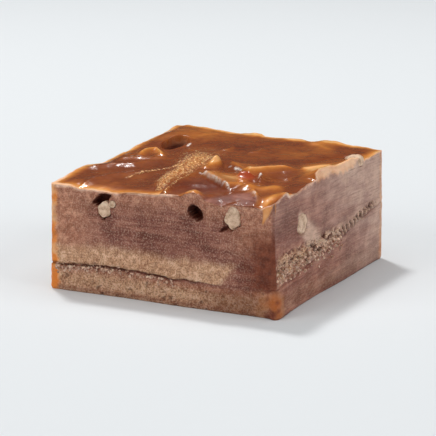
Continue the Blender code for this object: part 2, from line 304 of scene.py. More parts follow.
# Sugar grains, dark to bright: their own colour, with their sparkle and the shade between them painted in.
SUGAR_STOPS = [(0.4, (0.30, 0.085, 0.015)), (0.52, (0.66, 0.24, 0.05)), (0.62, (1.0, 0.66, 0.32))]
SKIN_STOPS = [
    (0.0, (0.15, 0.034, 0.013)),
    (0.25, (0.26, 0.066, 0.020)),
    (0.5, (0.42, 0.125, 0.028)),
    (0.8, (0.70, 0.25, 0.05)),
    (1.0, (0.90, 0.46, 0.17)),
]
CRUMB_STOPS = [(0.35, (0.34, 0.15, 0.09)), (0.65, (0.90, 0.64, 0.48))]
WALNUT_STOPS = [(0.3, (0.48, 0.29, 0.17)), (0.5, (0.76, 0.51, 0.35)), (0.7, (0.92, 0.70, 0.52))]

# Names of the masks that the fudge carries and its finish reads.
MASKS = ("skin", "amber", "pale", "burr", "gritty", "deep", "red", "dry", "tan", "sugar", "frost")

# Random values on a lattice, which is turned so that its rows don't show on the faces.
LATTICE = np.random.default_rng(7).random((32, 32, 32))
LATTICE_TURN = np.array([[2, -1, 2], [2, 2, -1], [-1, 2, 2]]) / 3


def smooth(t):
    """Eases from 0 to 1 as t does."""
    t = np.clip(t, 0, 1)
    return t * t * (3 - 2 * t)


def grain(x, y, z, size, seed=0):
    """Smooth random values from -1 to 1 that turn over about that size."""
    places = np.stack(np.broadcast_arrays(x, y, z), -1) @ LATTICE_TURN / size + seed * 5.37
    cells = np.floor(places).astype(int)
    t = places - cells
    t = t * t * (3 - 2 * t)
    total = 0
    for corner in itertools.product((0, 1), repeat=3):
        share = np.prod(np.where(corner, t, 1 - t), -1)
        i, j, k = np.moveaxis((cells + corner) % 32, -1, 0)
        total = total + share * LATTICE[i, j, k]
    return total * 2 - 1


def from_corners(x, y, corners):
    """A value given at the front left, front right, back right and back left corners."""
    u = np.clip(x / WIDTH + 0.5, 0, 1)
    v = np.clip(y / DEPTH + 0.5, 0, 1)
    front = corners[0] * (1 - u) + corners[1] * u
    back = corners[3] * (1 - u) + corners[2] * u
    return front * (1 - v) + back * v


def near_path(x, y, path):
    """For points of the plan: distance to a path, the side they lie on and how far along."""
    points = np.array(path, float)
    nearest = np.full(x.shape, np.inf)
    side = np.zeros(x.shape)
    along = np.zeros(x.shape)
    for i in range(len(points) - 1):
        start, step = points[i], points[i + 1] - points[i]
        t = np.clip(((x - start[0]) * step[0] + (y - start[1]) * step[1]) / (step @ step), 0, 1)
        dx = x - start[0] - t * step[0]
        dy = y - start[1] - t * step[1]
        distance = np.hypot(dx, dy)
        closer = distance < nearest
        nearest = np.where(closer, distance, nearest)
        side = np.where(closer, step[0] * dy - step[1] * dx, side)
        along = np.where(closer, (i + t) / (len(points) - 1), along)
    return nearest, side, along


def fold_shape(x, y, path, left, right):
    """From 1 on a fold's sharp crest to 0 away from it, fading at both ends."""
    nearest, side, along = near_path(x, y, path)
    fade = smooth(along / 0.15) * smooth((1 - along) / 0.2) * 0.9 + 0.1
    return np.exp(-((nearest / np.where(side > 0, left, right)) ** 1.3)) * fade


def lump_shape(x, y, centre_x, centre_y, radius_x, radius_y):
    """1 at the middle of a rounded lump, fading to 0 around it."""
    return np.exp(-(((x - centre_x) / radius_x) ** 2) - ((y - centre_y) / radius_y) ** 2)


def sugar_shape(x, y):
    """How much sugar shows on the top: on the wide ridge and along the thin lines."""
    ridge, _, along = near_path(x, y, SUGAR_RIDGE)
    uneven = 0.8 * grain(x, y, 0, 2.0, 45)
    wide = smooth(1.3 - (ridge + uneven) / (1.2 + 4.2 * along)) * smooth((1.1 - along) / 0.35)
    for line in SUGAR_LINES:
        crest, _, _ = near_path(x + 0.2 * grain(x, y, 0, 1.5, 27), y, line)
        wide = np.maximum(wide, 0.8 * smooth(1.3 - crest / 0.4))
    return wide


def glint_shape(x, y):
    """How strongly the painted white highlight shows along the sharp crests."""
    frost = np.zeros(x.shape)
    for _, width, path in GLINT_CRESTS:
        nearest, _, _ = near_path(x, y, path)
        nearest = nearest + 0.25 * grain(x, y, 0, 1.2, 46) + 0.1
        frost = np.maximum(frost, smooth(1.4 - nearest / width))
    return frost


def drag_marks(x, y):
    """Streaks that the spatula left along its way, which turns from the left to the right."""
    marks = 0
    to_right = smooth((x - 0.3 * y + 8) / 10)
    for heading, share, seed in ((62, 1 - to_right, 40), (22, to_right, 41)):
        cos, sin = math.cos(math.radians(heading)), math.sin(math.radians(heading))
        along, aside = (x * cos + y * sin) / 9, y * cos - x * sin
        streaks = grain(along, aside, 0, 1.5, seed) + 0.5 * grain(along, aside, 0, 0.6, seed + 2)
        marks = marks + share * streaks
    return marks


def spatula_top(x, y):
    """Height of the top before its rims are set, and how amber it is."""
    wander_x = x + 0.5 * grain(x, y, 0, 3.5, 1)
    wander_y = y + 0.5 * grain(x, y, 0, 3.5, 2)
    z = from_corners(x, y, HEIGHTS)
    amber = np.zeros(x.shape)
    for _, path, crest, left, right, tint in FOLDS:
        shape = fold_shape(wander_x, wander_y, path, left, right)
        z = z + crest * shape
        amber = amber + tint * shape
    for _, centre_x, centre_y, radius_x, radius_y, rise, tint in LUMPS:
        shape = lump_shape(wander_x, wander_y, centre_x, centre_y, radius_x, radius_y)
        z = z + rise * shape
        amber = amber + tint * shape
    marks = drag_marks(x, y)
    return z + 0.03 * marks, amber + 0.05 * marks


def profile(place, turns):
    """Height along a rim, eased between its turns."""
    at, heights = np.array(turns, float).T
    i = np.clip(np.searchsorted(at, place) - 1, 0, len(at) - 2)
    t = smooth((place - at[i]) / (at[i + 1] - at[i]))
    return heights[i] * (1 - t) + heights[i + 1] * t


def top_surface(x, y):
    """Height of the finished top, and how amber it is."""
    z, amber = spatula_top(x, y)
    lift = np.zeros(x.shape)
    weight = np.zeros(x.shape)
    rims = [
        (y + HALF_DEPTH, x, x, np.full(x.shape, -HALF_DEPTH), FRONT_RIM),
        (HALF_DEPTH - y, x, x, np.full(x.shape, HALF_DEPTH), BACK_RIM),
        (x + HALF_WIDTH, y, np.full(x.shape, -HALF_WIDTH), y, LEFT_RIM),
        (HALF_WIDTH - x, y, np.full(x.shape, HALF_WIDTH), y, RIGHT_RIM),
    ]
    for distance, place, rim_x, rim_y, turns in rims:
        share = np.exp(-((np.clip(distance, 0, None) / RIM_REACH) ** 2))
        miss = profile(place, turns) - spatula_top(rim_x, rim_y)[0]
        lift = lift + share * miss
        weight = weight + share
    z = z + lift / np.maximum(weight, 1)
    z = z + 0.13 * grain(x, y, 0, 2.6, 3) + 0.05 * grain(x, y, 0, 1.0, 4)
    z = z + sugar_shape(x, y) * (0.16 * grain(x, y, 0, 0.6, 26) + 0.08)
    r = pit_outline(x, y) + 0.06 * grain(x, y, 0, 2.0, 17)
    raised_lip = 0.15 * np.exp(-(((r - 1.1) / 0.1) ** 2))
    z = z - PIT_DEPTH * np.sqrt(np.clip(1 - r * r, 0, 1)) + raised_lip
    return z, amber


def pit_outline(x, y):
    """0 at the bubble pit's middle and 1 on its rim."""
    return np.hypot((x - BUBBLE_PIT[0]) / PIT_RADII[0], (y - BUBBLE_PIT[1]) / PIT_RADII[1])


def seam_height(x, y):
    """The plane that the seam lies in, with its slow waves, as in the model."""
    return from_corners(x, y, SEAM_HEIGHTS) + 0.35 * np.sin(x / 7) * np.cos(y / 9)


def face_wave(along, up):
    """Slow waves that the knife left in the cut faces, as in the model."""
    return FACE_WAVE * np.sin(along / FACE_WAVE_LENGTH) * np.cos(up / FACE_WAVE_LENGTH)


def round_corners(x, y):
    """Turns the square corners of the plan into quarter circles."""
    a = (np.abs(x) - HALF_WIDTH + CORNER_RADIUS) / CORNER_RADIUS
    b = (np.abs(y) - HALF_DEPTH + CORNER_RADIUS) / CORNER_RADIUS
    both = (a > 0) & (b > 0)
    a, b = np.clip(a, 0, 1), np.clip(b, 0, 1)
    inner_x, inner_y = HALF_WIDTH - CORNER_RADIUS, HALF_DEPTH - CORNER_RADIUS
    round_x = np.sign(x) * (inner_x + CORNER_RADIUS * a * np.sqrt(1 - b * b / 2))
    round_y = np.sign(y) * (inner_y + CORNER_RADIUS * b * np.sqrt(1 - a * a / 2))
    return np.where(both, round_x, x), np.where(both, round_y, y)


def ellipse(along, up, centre, height, half_width, half_height, lean):
    """0 at the middle of a leaning ellipse on a cut face, 1 on its outline."""
    cos, sin = math.cos(math.radians(lean)), math.sin(math.radians(lean))
    a = (along - centre) * cos + (up - height) * sin
    b = (up - height) * cos - (along - centre) * sin
    return np.hypot(a / half_width, b / half_height)


def nut_outline(name, x, y, z):
    """0 at a nut's middle and 1 on its surface, for points near the cut face it shows in."""
    (cx, cy, cz), (hx, hy, hz), turn = NUTS[name]
    cos, sin = math.cos(math.radians(turn)), math.sin(math.radians(turn))
    a = (x - cx) * cos + (y - cy) * sin
    b = (y - cy) * cos - (x - cx) * sin
    return np.sqrt((a / hx) ** 2 + (b / hy) ** 2 + ((z - cz) / hz) ** 2) / kernel_lumps(x, y, z)


def kernel_lumps(x, y, z):
    """How much a walnut swells or shrinks at a point of it, around 1."""
    return 1 + 0.15 * grain(x, y, z, 1.6, 5) + 0.1 * grain(x, y, z, 0.7, 15)


def seam_line(x, y):
    """The seam as it shows, wandering a little about the plane that it lies in."""
    return seam_height(x, y) + 0.32 * grain(x, y, 0, 2.3, 18) + 0.16 * grain(x, y, 0, 0.7, 19)


class CutPoints:
    """Points of the sides, and where each of them lies on its cut face."""

    def __init__(self, x, y, z):
        self.x, self.y, self.z = x, y, z
        self.front = smooth((-y - HALF_DEPTH + 1.6) / 1.2)
        self.right = smooth((x - HALF_WIDTH + 1.6) / 1.2)
        self.along = np.where(np.abs(y) > HALF_DEPTH - CORNER_RADIUS, x, y)
        self.far = smooth(y / DEPTH + 0.5)
        self.above_seam = z - seam_line(x, y)
        self.under_rim = top_surface(x, y)[0] - z
        self.from_corner = HALF_WIDTH - x + (y + HALF_DEPTH) * 1.5

    def grain(self, size, seed):
        return grain(self.x, self.y, self.z, size, seed)

    def along_grain(self, size, seed, stretch=1):
        """Grain of a face's own plane, drawn out along it by that much."""
        return grain(self.along / stretch, self.z, 0, size, seed)


def leaning(c):
    """How far the knife left the faces standing out, with their worn edge and dragged foot."""
    out = FOOT_FLARE * (0.5 - c.z / HEIGHTS[0]) + face_wave(c.along, c.z)
    worn = smooth(c.z / 20) * np.exp(-(c.y + HALF_DEPTH) / WORN_EDGE_REACH)
    out = out - WORN_EDGE * c.right * worn
    low = smooth((DRAGGED_FOOT_HEIGHT - c.z) / (DRAGGED_FOOT_HEIGHT / 2))
    near_corner = np.exp(-(((c.y + HALF_DEPTH) / DRAGGED_FOOT_REACH) ** 2)) * (c.x > 0)
    out = out + DRAGGED_FOOT * low * near_corner * c.right
    out = out + 0.05 * c.along_grain(0.9, 6, 9) + 0.06 * c.grain(2.4, 7) + 0.03 * c.grain(0.8, 31)
    out = out + 0.15 * smooth(1 - c.under_rim / 0.5)
    out = out - WORN_RIM * c.right * peach_rim(c.y) * smooth(1 - c.under_rim / 2.4)
    return out - FOOT_ROUNDING * smooth(1 - c.z / (2 * FOOT_ROUNDING))


def comb_band(c):
    """The torn band over the right face's seam: where it is, and its lumps and slots."""
    middle = 3.0 * (1 - c.far) + 0.9
    reach = 2.9 - 2.0 * c.far
    band = c.right * smooth(1.3 - np.abs(c.above_seam - middle) / reach)
    band = band * smooth((c.y + HALF_DEPTH - 0.8) / 1.5) * (1 - 0.75 * smooth((c.y - 1) / 8))
    lumps = c.along_grain(0.75, 8, 1.5) + 0.7 * c.along_grain(0.45, 32, 1.5)
    turn = 2 * math.pi * (c.y + 0.6 * c.above_seam) / COMB_PITCH + 2 * grain(c.y, 0, 0, 3, 30)
    combed = c.right * smooth(1.4 - np.abs(c.above_seam - 1.2) / 1.0)
    combed = combed * smooth((c.y - COMB[0]) / 4) * smooth((COMB[1] - c.y) / 4)
    slots = combed * smooth((np.sin(turn) + 0.1) / 0.4)
    band = np.maximum(band, 0.55 * combed)
    chips = np.exp(-(((c.y + 6) / 5) ** 2)) * smooth((0.1 - c.along_grain(1.5, 33, 1.4)) / 0.3)
    return band, lumps - chips, slots


def hollow_faces(c):
    """Depth of the bubbles, cavities and nut pockets, and the painted shade in them."""
    depth_in = np.zeros(c.x.shape)
    deep = np.zeros(c.x.shape)
    for _, centre, height, half_width, half_height, lean, depth, ragged in HOLLOWS:
        r = ellipse(c.along, c.z, centre, height, half_width, half_height, lean)
        r = r + ragged * c.grain(1.0, 11)
        depth_in = depth_in + depth * smooth((1.1 - r) / 0.12) * c.front
        deep = np.maximum(deep, smooth((1.27 - r) / 0.12) * c.front)
    for name, (centre, half_sizes, _) in NUTS.items():
        r = nut_outline(name, c.x, c.y, c.z)
        low_side = smooth(0.5 - 0.9 * (c.z - centre[2]) / half_sizes[2] + 0.5 * c.grain(1.6, 34))
        sunk = smooth((0.99 + 0.2 * low_side - r) / 0.1)
        depth_in = depth_in + 1.1 * sunk
        # A nut pocket is painted darkest on its low side, as shade.
        deep = np.maximum(deep, 0.85 * sunk * low_side)
    return depth_in, deep


def pale_parts(c, band, lumps):
    """Where the cut faces are pale: the band, the base's streak, torn lumps, crumbs, the foot's
    edge and the smear.
    """
    height_in_band = c.above_seam / (BAND_FRONT + (BAND_BACK - BAND_FRONT) * c.far)
    height_in_band = height_in_band + 0.12 * c.along_grain(3.5, 12)
    pale = smooth((1.3 - height_in_band) / 0.6) * smooth(c.above_seam / 0.3)
    pale = pale * (1 - smooth((c.x - 15.5 - 0.8 * (c.z - 8)) / 2.5) * (1 - c.right))
    pale = pale * (1 - 0.75 * c.right)
    streak_line = 2.9 + 0.5 * grain(c.along, 0, 0, 6, 13)
    streak = 1.1 * smooth(1.25 - np.abs(c.z - streak_line) / 2.6) * smooth((-c.above_seam - 0.9) / 1.2)
    pale = np.maximum(pale, 0.9 * streak * (1 - 0.8 * c.right))
    pale = np.maximum(pale, 1.2 * band * smooth(0.75 + lumps))
    crumbs = smooth(1 - np.abs(c.above_seam + 1.1) / 0.9) * smooth(c.grain(0.7, 42) / 0.25)
    pale = np.maximum(pale, crumbs * (1 - c.right) * smooth((2 - c.x) / 12))
    pale = np.maximum(pale, smooth(1 - np.abs(c.z - 0.35) / 0.3) * (1 - c.right))
    return np.maximum(pale, 0.45 * smooth(1.25 - smear_outline(c.y, c.z)) * c.right)


def rim_burr(c):
    """Where the knife dragged the fudge into a pale, dry burr under the rim."""
    width = 0.75 + 0.35 * grain(c.along, 0, 0, 1.5, 22) - 0.1 * c.right
    width = width + PEACH_RIM_WIDTH * c.right * peach_rim(c.y)
    ease = 0.5 + 0.9 * c.right * peach_rim(c.y)
    burr = smooth((width - c.under_rim - 0.5 * c.grain(1.2, 47) * c.right) / ease)
    return burr * (1 - (1 - c.right) * merging_rim(c.x))


def merging_rim(x):
    """1 along the part of the front rim that has no burr."""
    return smooth((x - MERGING_RIM[0]) / 2) * smooth((MERGING_RIM[1] - x) / 2)


def peach_rim(y):
    """1 along the part of the right rim that has the broad peach burr."""
    return smooth((y - PEACH_RIM[0]) / 2) * smooth((PEACH_RIM[1] - y) / 4)


def corner_stains(c):
    """The amber drip, the amber foot and the dark red between them, all at the front corner."""
    aside = np.abs(c.from_corner - DRIP_MIDDLE + DRIP_LEAN * (c.z - DRIP_TOP) + 0.4 * c.grain(2.0, 39))
    drip = smooth((0.2 + 1.2 * smooth((c.z - 20) / 6) - aside) / 0.5)
    drip = drip * smooth((c.z - DRIP_END) / 1.5) * c.front
    foot = smooth(1.2 - (c.from_corner + 0.8 * c.grain(1.5, 35)) / AMBER_FOOT_REACH)
    foot = foot * smooth((AMBER_FOOT_TOP - c.z) / 2.5)
    red = smooth(1.35 - (c.from_corner + 0.9 * c.grain(1.5, 36)) / DARK_RED_REACH)
    red = red * smooth((DARK_RED_TOP - c.z) / 6) * smooth((c.z - DARK_RED_FOOT) / 2)
    return drip, foot, red * (1 - c.right * (1 - c.front))


def seam_crack(c, ragged_seam, left_part):
    """How far the seam gapes, most of all where it crumbles at the front left."""
    gape = 1 - 0.95 * smooth((c.x - 7) / 8) * (1 - c.right) - 0.8 * c.right
    gape = gape * (0.8 + 0.3 * grain(c.x, c.y, 0, 4.0, 20))
    width = 0.5 + 0.6 * ragged_seam * left_part * smooth(c.grain(0.9, 37) / 0.4)
    return smooth(1 - np.abs(c.above_seam) / width) * gape


def sheen_and_smear_parts(c, base_face):
    """Where the right face is painted with a pale, grey sheen, more so to the back and higher up, and where
    the nut's pale smear lies.
    """
    dry = 0.16 + 0.8 * c.far ** 1.5 + 0.3 * (c.z - 14) / 12 + 0.15 * c.along_grain(1.0, 23, 8)
    dry = dry - 0.2 * base_face * smooth((-8 - c.y) / 14)
    dry = np.maximum(dry, 1.2 * smooth(1.25 - smear_outline(c.y, c.z)))
    return c.right * np.clip(dry, 0, 1.2)


def tan_parts(c, base_face):
    """Where the cut faces are tan: near the rim, at the left, by the corner and under the seam."""
    near_rim = smooth(1 - c.under_rim / (6.5 + 3 * c.along_grain(4, 38)))
    near_left = smooth((-HALF_WIDTH + 16 - c.x) / 13)
    near_right = smooth((c.x - 15) / 8) * smooth((c.z - 12) / 5)
    tan = np.maximum.reduce([0.85 * near_rim, near_left, 0.8 * near_right]) * (1 - c.right)
    return np.maximum(tan, base_face * (1 - 0.9 * c.right))


def amber_parts(c, drip, foot, burr):
    """Where the sides are amber: the upright edges, painted with the glow of light shining through them,
    the drip, the foot and the peach burr.
    """
    # The upright edges are painted with the glow of light shining through them from behind.
    edge = np.hypot(HALF_WIDTH - np.abs(c.x), HALF_DEPTH - np.abs(c.y))
    ragged = 0.5 * grain(0, 0, c.z, 2.5, 24) + 0.5 * c.grain(0.9, 48)
    edge = smooth((2.2 + ragged + 0.9 * smooth((9.5 - c.z) / 2) - edge) / 1.5)
    edge = edge * np.where(c.x < 0, 0.85 + 0.15 * smooth((10 - c.z) / 3), 0.3 * (c.y > 0))
    foot = foot * 0.35 * smooth(0.5 + 1.2 * c.grain(1.2, 43))
    return np.maximum.reduce([edge, 0.75 * drip, foot, 0.6 * c.right * peach_rim(c.y) * burr])


def red_parts(c, stain, foot, base_face):
    """Where the front face is a dark red: the corner, a band of painted shade under the seam, and lines low
    down.
    """
    low_right = 0.6 * base_face * smooth((c.x - 6) / 14)
    # A band of painted shade under the seam.
    shade_under_seam = 0.75 * base_face * smooth(1 + c.above_seam / 1.5)
    low_line = 0.45 * smooth(1 - np.abs(c.z - 0.9) / 0.6)
    lines = np.maximum.reduce([low_right, shade_under_seam, low_line]) * (1 - c.right)
    return np.maximum.reduce([stain, foot, lines])


def cut_faces(x, y, z):
    """For points of the sides: how far out they stand, and the masks of the cut fudge."""
    c = CutPoints(x, y, z)
    band, lumps, slots = comb_band(c)
    drip, foot, stain = corner_stains(c)
    burr = rim_burr(c)

    left_part = smooth((-6 - x) / 8)
    ragged_seam = smooth(1.2 - np.abs(c.above_seam + 0.3) / 1.5) * (1 - c.right)
    base_face = smooth((-c.above_seam - 0.2) / 0.8)
    crumbly = np.maximum(band, ragged_seam * (0.25 + 0.75 * left_part))
    crumbly = np.maximum(crumbly, base_face * (0.6 - 0.5 * c.right))

    out = leaning(c) + crumbly * 0.14 * c.grain(0.75, 8) + 0.45 * drip
    out = out + band * 0.65 * lumps - 0.85 * slots
    crack = seam_crack(c, ragged_seam, left_part)
    out = out - crack * (0.45 + 0.2 * c.grain(1.1, 10))
    pits = smooth((c.grain(1.3, 21) - 0.62) / 0.12) * (0.3 + crumbly) * (1 - 0.6 * c.right)
    depth_in, deep = hollow_faces(c)
    out = out - 0.25 * pits - depth_in
    # Painted shade in the gaps between the band's lumps, in its slots, in the crack and in the pits.
    shade_between_lumps = 0.85 * band * smooth((-0.3 - lumps) / 0.35)
    return out, {
        "amber": amber_parts(c, drip, foot, burr),
        "pale": pale_parts(c, band, lumps),
        "gritty": np.maximum(crumbly, 0.4 - 0.25 * c.right),
        "deep": np.maximum.reduce([deep, 0.8 * crack, 0.6 * pits, shade_between_lumps, slots]),
        "red": red_parts(c, stain, foot, base_face),
        "dry": sheen_and_smear_parts(c, base_face),
        "tan": tan_parts(c, base_face),
        "burr": burr * (1 - drip),
        "skin": np.maximum(0.9 * drip, 0.15 * foot),
    }


def smear_outline(y, z):
    """0 along the middle of the pale smear on the right face, growing with distance from it."""
    nearest, _, down = near_path(y, z, NUT_SMEAR)
    return nearest / (1.5 + 2.8 * down)


def top_masks(x, y, amber):
    """The masks of the poured top: its amber, its pale burr, where its skin is unbroken, the painted shade
    in its pit and on its facet, and its painted glints.
    """
    at_peach = peach_rim(y) * (x > 0)
    burr_width = 0.35 + 0.9 * smooth((-22 - x) / 5) * smooth((-20 - y) / 8)
    burr_width = burr_width + 0.25 * grain(x, y, 0, 1.2, 25) + 0.8 * at_peach
    rim = np.minimum(HALF_WIDTH - np.abs(x), HALF_DEPTH - np.abs(y))
    burr = smooth((burr_width - rim) / 0.5) * (1 - merging_rim(x) * (y < 0))
    strip, _, _ = near_path(x, y, BARE_STRIP)
    bare = smooth(1.4 - (strip + 0.6 * grain(x, y, 0, 2.0, 44)) / BARE_WIDTH)
    r = pit_outline(x, y)
    in_pit = smooth((1 - r) / 0.1)
    # The bubble pit is painted dark inside as shade, most of all on its left.
    pit_shade = smooth((1 - r) / 0.15) * (0.3 + 0.65 * smooth(0.6 - (x - BUBBLE_PIT[0]) / 4))
    # The facet under the long fold is painted darker and redder as shade.
    shaded_facet = lump_shape(x, y, *SHADED_FACET)
    red_lump = lump_shape(x, y, *RED_LUMP, 2.0, 2.2)
    # The left and back rims of the top are painted amber, as the glow of light shining through them.
    amber = amber + 0.95 * smooth(1 - rim / 3.5) * ((x < 0) | (y > 0))
    amber = np.maximum(amber * (1 - bare), 0.7 * at_peach * burr)
    return {
        "amber": np.clip(amber, -0.5, 1.2),
        "burr": burr,
        "skin": (1 - 0.9 * in_pit) * (1 - 0.75 * burr) * (1 - 0.85 * bare) * (1 - 0.3 * shaded_facet),
        "deep": np.maximum(pit_shade, 0.6 * shaded_facet),
        "red": np.maximum(1.8 * red_lump, 0.3 * shaded_facet),
        "sugar": sugar_shape(x, y),
        "frost": glint_shape(x, y),
    }


def shape_points(places, roof, ground):
    """Shapes points of a unit block, whose top is at 0 and foot at -1, between two heights.

    Returns the shaped points and the masks that the finish reads.
    """
    aside_x = np.clip(np.abs(places[:, 0]) * 2, 0, 1)
    aside_y = np.clip(np.abs(places[:, 1]) * 2, 0, 1)
    x, y = round_corners(places[:, 0] * WIDTH, places[:, 1] * DEPTH)
    high, amber_top = roof(x, y)
    z = high + (ground(x, y) - high) * -places[:, 2]
    out, cut = cut_faces(x, y, z)
    side = np.maximum(aside_x, aside_y) > 0.9999
    out_x = aside_x ** SIDE_STEEPNESS * np.sign(x)
    out_y = aside_y ** SIDE_STEEPNESS * np.sign(y)
    longer = np.maximum(np.hypot(out_x, out_y), 1)
    on_top = ~(side & (places[:, 2] < 0)) & (roof is top_surface)
    worn_rim = WORN_RIM * peach_rim(y) * (x > 0)
    out = np.where(on_top, FOOT_FLARE * (0.5 - z / HEIGHTS[0]) - worn_rim, out)
    poured = top_masks(x, y, amber_top)
    masks = {name: np.where(on_top, poured.get(name, 0), cut.get(name, 0)) for name in MASKS}
    shaped = np.column_stack((x + out * out_x / longer, y + out * out_y / longer, z))
    return shaped, masks


def unit_block(rows):
    """A closed unit block with a fine top, sides in rows and a tucked-in underside."""
    bm = bmesh.new()
    columns, lines = round(WIDTH / CELL), round(DEPTH / CELL)
    bmesh.ops.create_grid(bm, x_segments=columns, y_segments=lines, size=0.5)
    edges = [edge for edge in bm.edges if edge.is_boundary]
    for _ in range(rows):
        edges = draw_out(bm, edges, lambda co: (co.x, co.y, co.z - 1 / rows))
    shrink_x, shrink_y = 1 - 2 * TUCK / WIDTH, 1 - 2 * TUCK / DEPTH
    edges = draw_out(bm, edges, lambda co: (co.x * shrink_x, co.y * shrink_y, co.z))
    bmesh.ops.edgeloop_fill(bm, edges=edges)
    return bm


def draw_out(bm, edges, place):
    """Extrudes an open edge loop, moves the new vertices and returns the new edges."""
    drawn = bmesh.ops.extrude_edge_only(bm, edges=edges)["geom"]
    for vert in drawn:
        if isinstance(vert, bmesh.types.BMVert):
            vert.co = place(vert.co)
    return [item for item in drawn if isinstance(item, bmesh.types.BMEdge)]


def finish_body(bm, name, roof, ground):
    """Shapes a unit block, and makes it a piece that carries its masks."""
    places = np.array([vert.co for vert in bm.verts])
    shaped, masks = shape_points(places, roof, ground)
    for vert, place in zip(bm.verts, shaped * MM):
        vert.co = place
    bmesh.ops.recalc_face_normals(bm, faces=bm.faces)
    piece = add_piece(bm, name)
    for mask, values in masks.items():
        layer = piece.data.attributes.new(mask, "FLOAT", "POINT")
        layer.data.foreach_set("value", np.clip(values, -1, 1).astype(np.float32))
    return piece


def add_piece(bm, name, smooth_faces=True):
    """Puts a bmesh into the scene as a piece of that name."""
    mesh = bpy.data.meshes.new(name)
    bm.to_mesh(mesh)
    bm.free()
    if smooth_faces:
        mesh.shade_smooth()
    piece = bpy.data.objects.new(name, mesh)
    bpy.context.scene.collection.objects.link(piece)
    return piece


def upper_fudge():
    """The fudge over the seam, with its poured top."""
    bm = unit_block(UPPER_ROWS)
    return finish_body(
        bm, "fudge_upper", top_surface, lambda x, y: seam_line(x, y) + SEAM_GAP
    )


def base_fudge():
    """The fudge under the seam. Its top, which is hidden but for its rim, is one plain face."""
    bm = unit_block(BASE_ROWS)
    middles = {face: face.calc_center_median() for face in bm.faces}
    inner = [
        face for face, middle in middles.items()
        if middle.z > -0.001 and max(abs(middle.x), abs(middle.y)) < PLAIN_SHARE
    ]
    bmesh.ops.dissolve_faces(bm, faces=inner, use_verts=True)
    return finish_body(
        bm,
        "fudge_base",
        lambda x, y: (seam_line(x, y) - SEAM_GAP, np.zeros(x.shape)),
        lambda x, y: np.zeros(x.shape),
    )


def walnut(name):
    """One piece of walnut: a lumpy kernel, worn flat where the knife went through it."""
    (cx, cy, cz), (hx, hy, hz), turn = NUTS[name]
    bm = bmesh.new()
    bmesh.ops.create_icosphere(bm, subdivisions=5, radius=1)
    places = np.array([vert.co for vert in bm.verts])
    cos, sin = math.cos(math.radians(turn)), math.sin(math.radians(turn))
    a, b = places[:, 0] * hx, places[:, 1] * hy
    x = cx + a * cos - b * sin
    y = cy + a * sin + b * cos
    z = cz + places[:, 2] * hz
    uneven = kernel_lumps(x, y, z)
    x = cx + (x - cx) * uneven
    y = cy + (y - cy) * uneven
    z = cz + (z - cz) * uneven
    lean = FOOT_FLARE * (0.5 - z / HEIGHTS[0]) + 0.05 * grain(x, y, z, 0.7, 16)
    x = np.clip(x, -HALF_WIDTH - lean, HALF_WIDTH + lean)
    y = np.clip(y, -HALF_DEPTH - lean, HALF_DEPTH + lean)
    for vert, place in zip(bm.verts, np.column_stack((x, y, z)) * MM):
        vert.co = place
    bmesh.ops.recalc_face_normals(bm, faces=bm.faces)
    return add_piece(bm, f"walnut_{name.removeprefix('nut_')}")


def crumb_places():
    """Where crumbs cling, to the front seam and to the torn band: x, y, z and size."""
    chance = np.random.default_rng(11)
    on_right = chance.random(CRUMB_COUNT) < 0.6
    t = chance.random(CRUMB_COUNT)
    x = np.where(on_right, HALF_WIDTH, -HALF_WIDTH + 1.5 + CRUMBS_IN_FRONT * t ** 1.6)
    y = np.where(on_right, -HALF_DEPTH + 1 + CRUMBS_AT_RIGHT * t, -HALF_DEPTH)
    off_seam = chance.normal(0, 1, CRUMB_COUNT)
    off_seam = np.where(on_right, 2.4 - 2 * t + off_seam, -0.7 + 0.45 * off_seam)
    z = seam_line(x, y) + off_seam
    size = chance.uniform(*CRUMB_SIZES, CRUMB_COUNT) * np.where(on_right, 1.5, 1.1)
    out, _ = cut_faces(x, y, z)
    out = out + 0.1 * size
    return x + out * on_right, y - out * ~on_right, z, size


def crumbs():
    """Angular crumbs of pale fudge, each with twenty faces."""
    chance = np.random.default_rng(12)
    bm = bmesh.new()
    for x, y, z, size in zip(*crumb_places()):
        made = bmesh.ops.create_icosphere(bm, subdivisions=1, radius=size)["verts"]
        stretch = chance.uniform(0.6, 1.3, (len(made), 3))
        for vert, share in zip(made, stretch):
            place = np.array(vert.co) * share + (x, y, z)
            vert.co = place * MM
    return add_piece(bm, "crumbs", smooth_faces=False)


class Value:
    """A shader socket that Python's arithmetic works on."""

    def __init__(self, tree, socket):
        self.tree = tree
        self.socket = socket

    def maths(self, operation, first, second, clamp=False):
        node = self.tree.nodes.new("ShaderNodeMath")
        node.operation = operation
        node.use_clamp = clamp
        for socket, value in zip(node.inputs, (first, second)):
            plug(self.tree, socket, value)
        return Value(self.tree, node.outputs[0])

    def __add__(self, other):
        return self.maths("ADD", self, other)

    __radd__ = __add__

    def __sub__(self, other):
        return self.maths("SUBTRACT", self, other)

    def __rsub__(self, other):
        return self.maths("SUBTRACT", other, self)

    def __mul__(self, other):
        return self.maths("MULTIPLY", self, other)

    __rmul__ = __mul__

    def clamped(self):
        return self.maths("ADD", self, 0, clamp=True)


def plug(tree, socket, value):
    """Links a Value to a socket, or sets the socket to a plain number or colour."""
    if isinstance(value, Value):
        tree.links.new(value.socket, socket)
    elif isinstance(value, tuple) and len(value) == 3 and socket.type == "RGBA":
        socket.default_value = (*value, 1)
    else:
        socket.default_value = value


